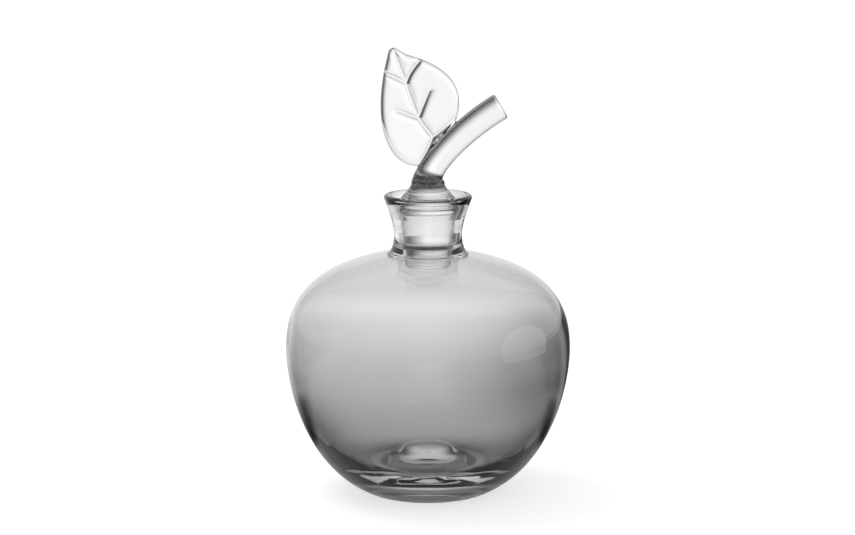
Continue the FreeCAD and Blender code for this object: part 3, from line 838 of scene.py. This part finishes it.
def studio_world(studio):
    """White studio; what glass sees of it has soft dark flags to the sides."""
    world = bpy.data.worlds.new("soft_studio")
    nodes = Nodes(world)
    path = nodes.new("ShaderNodeLightPath")
    seen = path.wire("Is Camera Ray")
    in_glass = path.wire("Is Glossy Ray") + path.wire("Is Transmission Ray")
    direction = nodes.new("ShaderNodeTexCoord").wire("Generated")
    parts = nodes.new("ShaderNodeSeparateXYZ", None, {0: direction})
    x, y, z = parts.wire("X"), parts.wire("Y"), parts.wire("Z")
    shade = shaded(nodes, x, y, FLAGS) * z.ramp(*FLAG_TOP)
    shade = shade * (studio.high_flag_shade * studio.flag_shade)
    colour = nodes.mix_colour(in_glass, rgba((studio.daylight,) * 3),
                              nodes.mix_colour(shade, WHITE, BLACK))
    colour = nodes.mix_colour(seen, colour, WHITE)
    background = nodes.new("ShaderNodeBackground", None, {"Color": colour})
    nodes.new("ShaderNodeOutputWorld", None, {"Surface": background.wire()})
    bpy.context.scene.world = world


def pale_floor(studio):
    """White table that keeps a soft shadow; what the glass sees of it also carries painted shade:
    the flags, dark sides close by and a grey pool round the bottle.
    """
    material = bpy.data.materials.new("pale_floor")
    nodes = Nodes(material)
    path = nodes.new("ShaderNodeLightPath")
    glass = path.wire("Is Glossy Ray")
    glass = glass.math("MAXIMUM", glass, path.wire("Is Transmission Ray"))
    parts = nodes.new("ShaderNodeSeparateXYZ", None,
                      {0: nodes.new("ShaderNodeTexCoord").wire("Object")})
    x, y = parts.wire("X"), parts.wire("Y")
    away = (x * x + y * y) ** 0.5
    # Painted shade seen only by the glass: the flags far off, the dark sides close by and a painted
    # shadow pool round the bottle.
    shade = shaded(nodes, x, y, FLAGS) * away.ramp(*FLAG_STARTS)
    sides = (shaded(nodes, x, y, TABLE_SIDES) * away.ramp(*SIDE_STARTS)
             * away.ramp(*SIDE_ENDS))
    shade = shade.math("MAXIMUM", shade, sides) * studio.flag_shade
    table = away.line(*TABLE_SHADE_ENDS) * studio.table_shade
    shade = (1 - (1 - shade) * (1 - table)) * glass
    card = nodes.new("ShaderNodeBsdfDiffuse", None, {"Color": rgba(studio.table_white)})
    glow = nodes.new("ShaderNodeEmission", None, {"Strength": studio.table_glow})
    lifted = nodes.new("ShaderNodeAddShader", None, {0: card.wire(), 1: glow.wire()})
    dark = nodes.new("ShaderNodeBsdfDiffuse", None, {"Color": BLACK})
    surface = nodes.new("ShaderNodeMixShader", None, {
        0: path.wire("Is Camera Ray") + glass, 1: card.wire(), 2: lifted.wire()})
    surface = nodes.new("ShaderNodeMixShader", None,
                        {0: shade, 1: surface.wire(), 2: dark.wire()})
    nodes.new("ShaderNodeOutputMaterial", None, {"Surface": surface.wire()})
    return material


def softbox(name, place, target, width, height, power):
    """An oval lamp aimed at the target, unseen but for its light and its reflection."""
    lamp = bpy.data.lights.new(name, "AREA")
    lamp.shape = "ELLIPSE"
    lamp.size, lamp.size_y = width, height
    lamp.energy = power
    holder = bpy.data.objects.new(name, lamp)
    bpy.context.scene.collection.objects.link(holder)
    holder.location = place
    aim = np.array(target) - np.array(place)
    holder.rotation_euler = (math.atan2(math.hypot(aim[0], aim[1]), -aim[2]), 0,
                             math.atan2(-aim[0], aim[1]))
    holder.visible_camera = False
    holder.visible_transmission = False
    return holder


class SCENE_OT_soft_studio(bpy.types.Operator):
    """Set the floor, lights and camera"""
    bl_idname = "scene.soft_studio"
    bl_label = "Soft Studio"

    def execute(self, context):
        scene = context.scene
        studio = scene.studio
        mesh = bpy.data.meshes.new("floor")
        reach = studio.table_reach
        corners = [(-reach, -reach, 0), (reach, -reach, 0), (reach, reach, 0),
                   (-reach, reach, 0)]
        mesh.from_pydata(corners, [], [(0, 1, 2, 3)])
        mesh.materials.append(pale_floor(studio))
        floor = bpy.data.objects.new("floor", mesh)
        scene.collection.objects.link(floor)
        studio_world(studio)
        softbox("right_softbox", place=(0.62, -0.085, 0.10), target=(0, 0, 0.07),
                width=0.56, height=0.46, power=studio.side_power)
        top = softbox("top_softbox", place=(-0.5, 0.3, 1.1), target=(0, 0, 0.08),
                      width=0.8, height=0.8, power=studio.top_power)
        top.visible_glossy = False
        camera = bpy.data.cameras.new("camera")
        camera.lens = studio.lens
        camera.sensor_width = 36
        holder = bpy.data.objects.new("camera", camera)
        scene.collection.objects.link(holder)
        holder.location = (studio.camera_side, -studio.camera_distance, studio.camera_height)
        holder.rotation_euler = (math.pi / 2 - studio.camera_pitch, 0, 0)
        scene.camera = holder
        scene.view_settings.view_transform = "Standard"
        return {"FINISHED"}


class VIEW3D_PT_decanter(bpy.types.Panel):
    """Lists the decanter's pieces, sizes and finishes"""
    bl_idname = "VIEW3D_PT_decanter"
    bl_label = "Liqueur Decanter"
    bl_space_type = "VIEW_3D"
    bl_region_type = "UI"
    bl_category = "Decanter"

    def draw(self, context):
        layout = self.layout
        for operator in OPERATORS:
            layout.operator(operator.bl_idname)
        for name, group in GROUPS:
            box = layout.box()
            for prop in group.__annotations__:
                box.prop(getattr(context.scene, name), prop)


OPERATORS = (MESH_OT_blown_bottle, MESH_OT_leaf_stopper, SCENE_OT_soft_studio)
GROUPS = (("bottle_sizes", BottleSizes), ("stopper_sizes", StopperSizes),
          ("glass_finish", GlassFinish), ("studio", StudioSettings))
CLASSES = tuple(group for _, group in GROUPS) + OPERATORS + (VIEW3D_PT_decanter,)


def register():
    for item in CLASSES:
        bpy.utils.register_class(item)
    for name, group in GROUPS:
        setattr(bpy.types.Scene, name, PointerProperty(type=group))


def unregister():
    for name, _ in GROUPS:
        delattr(bpy.types.Scene, name)
    for item in reversed(CLASSES):
        bpy.utils.unregister_class(item)


def main():
    register()
    bpy.ops.mesh.blown_bottle()
    bpy.ops.mesh.leaf_stopper()
    bpy.ops.scene.soft_studio()


if __name__ == "__main__":
    main()
